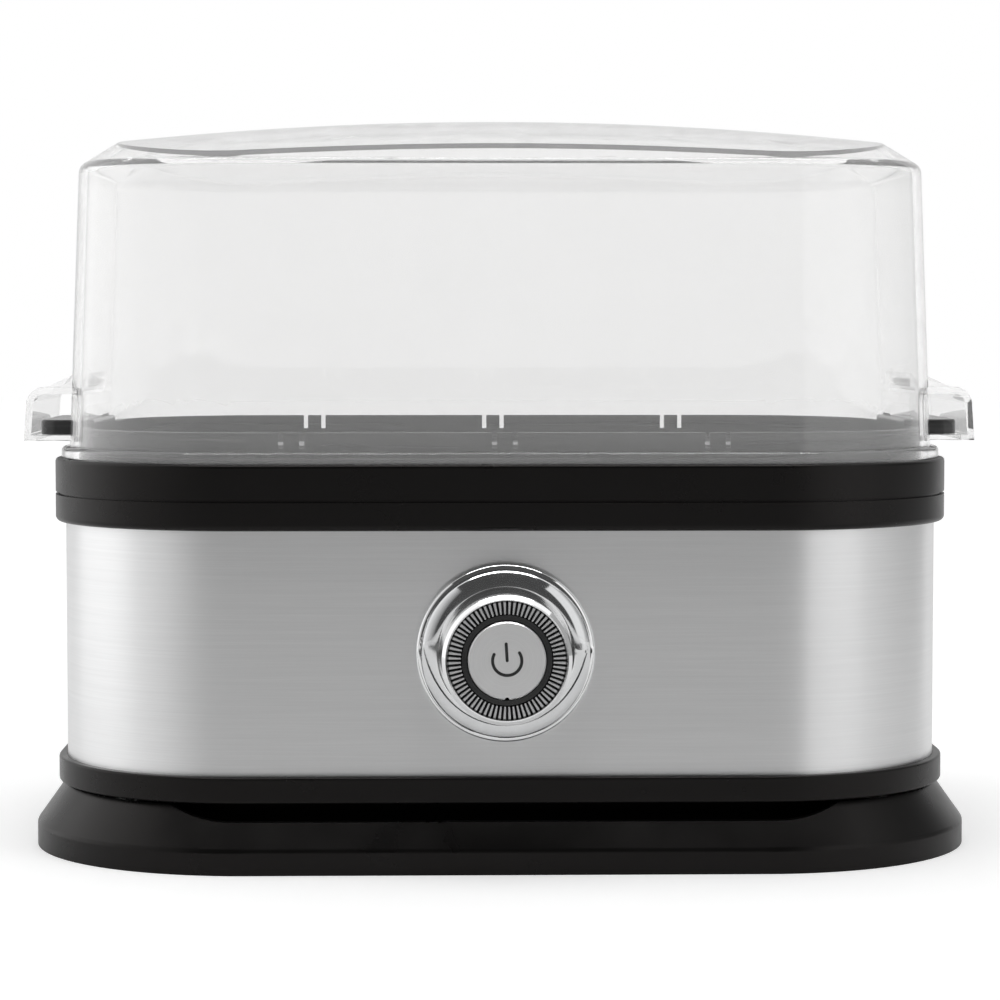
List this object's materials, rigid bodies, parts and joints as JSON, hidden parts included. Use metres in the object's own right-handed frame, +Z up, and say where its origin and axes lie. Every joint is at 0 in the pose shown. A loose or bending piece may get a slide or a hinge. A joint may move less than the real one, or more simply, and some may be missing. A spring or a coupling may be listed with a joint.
{
  "type": "electric egg cooker",
  "caption": "Electric egg cooker with a brushed steel body, a chrome dial round a power button, a slotted egg tray, a heated water dish and a clear lift-off lid.",
  "frame": {"origin": "middle of the footprint, on the worktop", "axes": "+X to the right along the long side, +Y to the rear, +Z up; the dial faces -Y"},
  "size_m": [0.2128, 0.1583, 0.1613],
  "materials": {
    "black_plastic": "satin moulded black",
    "tray_plastic": "smooth moulded black",
    "clear_plastic": "clear, polished",
    "brushed_steel": "brushed along its length",
    "dish_steel": "pressed, polished",
    "chrome": "polished plating",
    "button_metal": "satin",
    "smoked_plastic": "smoked, polished",
    "rubber": "matt",
    "silicone": "translucent grey",
    "liner_plastic": "moulded dark grey",
    "spreader_metal": "mill finish",
    "element_steel": "heat tinted tube",
    "ceramic": "glazed white",
    "zinc_steel": "zinc plated",
    "brass": "plain",
    "board_green": "solder resist",
    "lamp": "moulded white",
    "part_black": "moulded black",
    "relay_blue": "moulded blue",
    "block_white": "moulded white",
    "lead_insulation": "silicone brown"
  },
  "bodies": {
    "base": {"base_foot": "black_plastic", "rubber_feet": "rubber", "base_screws": "zinc_steel", "lower_pan": "black_plastic", "steel_sleeve": "brushed_steel", "inner_liner": "liner_plastic", "lower_collar": "black_plastic", "collar_screws": "zinc_steel", "pan_screws": "zinc_steel", "upper_collar": "black_plastic", "heating_dish": "dish_steel", "dish_seal": "silicone", "heat_spreader": "spreader_metal", "heating_element": "element_steel", "element_pins": "ceramic", "thermostat": "ceramic", "thermostat_strap": "zinc_steel", "thermal_fuse": "ceramic", "fuse_clip": "zinc_steel", "dial_bezel": "chrome", "bezel_nut": "brass", "selector_ring": "part_black", "light_guide": "smoked_plastic", "board_leds": "lamp", "button_spring": "zinc_steel", "switch_body": "part_black", "control_board": "board_green", "board_screws": "zinc_steel", "buzzer": "part_black", "relay": "relay_blue", "cord_gland": "rubber", "terminal_block": "block_white", "heater_leads": "lead_insulation", "board_leads": "lead_insulation"},
    "tray": {"egg_tray": "tray_plastic"},
    "lid": {"lid": "clear_plastic"},
    "dial": {"dial_knob": "chrome", "dial_retainer": "zinc_steel"},
    "button": {"power_button": "button_metal", "button_stem": "liner_plastic", "switch_plunger": "part_black"}
  },
  "joints": [
    {"name": "tray_lift", "type": "slide", "parent": "base", "child": "tray", "axis": [0, 0, 1], "range_m": [0, 0.06]},
    {"name": "lid_lift", "type": "slide", "parent": "tray", "child": "lid", "axis": [0, 0, 1], "range_m": [0, 0.1]},
    {"name": "dial_turn", "type": "hinge", "parent": "base", "child": "dial", "pos_m": [0, -0.0675, 0.04615], "axis": [0, 1, 0], "range_deg": [-135, 135]},
    {"name": "button_press", "type": "slide", "parent": "base", "child": "button", "axis": [0, 1, 0], "range_m": [0, 0.0015], "stiffness_N_per_m": 800, "springref_m": -0.002, "deforming": ["button_spring"]}
  ]
}
